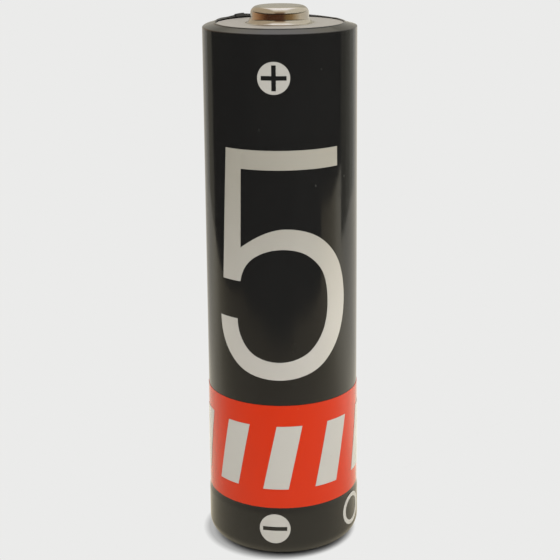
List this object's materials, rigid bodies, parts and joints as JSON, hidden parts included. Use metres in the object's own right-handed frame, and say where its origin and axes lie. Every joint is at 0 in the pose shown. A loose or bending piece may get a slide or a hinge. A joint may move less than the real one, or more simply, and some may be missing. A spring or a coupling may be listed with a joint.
{
  "type": "aa alkaline battery",
  "caption": "Cylindrical alkaline cell in black printed film, with a raised positive pip at the top and a flat negative contact at the foot.",
  "frame": {"origin": "centre of the negative contact's outer face, which is also the middle of the base", "axes": "+Z along the cell from the negative to the positive contact, -Y out of the printed front"},
  "size_m": [0.0142, 0.0142, 0.0505],
  "materials": {
    "nickel_steel": "nickel plated deep-drawn steel, bright, fine circular drawing marks",
    "brass": "bright drawn brass wire",
    "seal_nylon": "natural moulded nylon",
    "cathode_mix": "pressed black manganese dioxide and graphite, matt",
    "zinc_gel": "grey zinc powder in gelled electrolyte",
    "separator_paper": "off-white nonwoven paper",
    "label_black": "black printed shrink film, glossy",
    "ink_red": "vermilion ink under the film's gloss",
    "ink_grey": "pale warm grey ink under the film's gloss"
  },
  "bodies": {
    "root": {"steel_can": "nickel_steel", "cathode_ring_1": "cathode_mix", "cathode_ring_2": "cathode_mix", "cathode_ring_3": "cathode_mix", "separator": "separator_paper", "anode_gel": "zinc_gel", "collector_nail": "brass", "seal_grommet": "seal_nylon", "support_washer": "nickel_steel", "negative_cap": "nickel_steel", "label_film": "label_black", "print_band": "ink_red", "print_bars": "ink_grey", "print_numeral": "ink_grey", "print_plus_disc": "ink_grey", "print_minus_disc": "ink_grey", "print_badge": "ink_grey"}
  },
  "joints": []
}
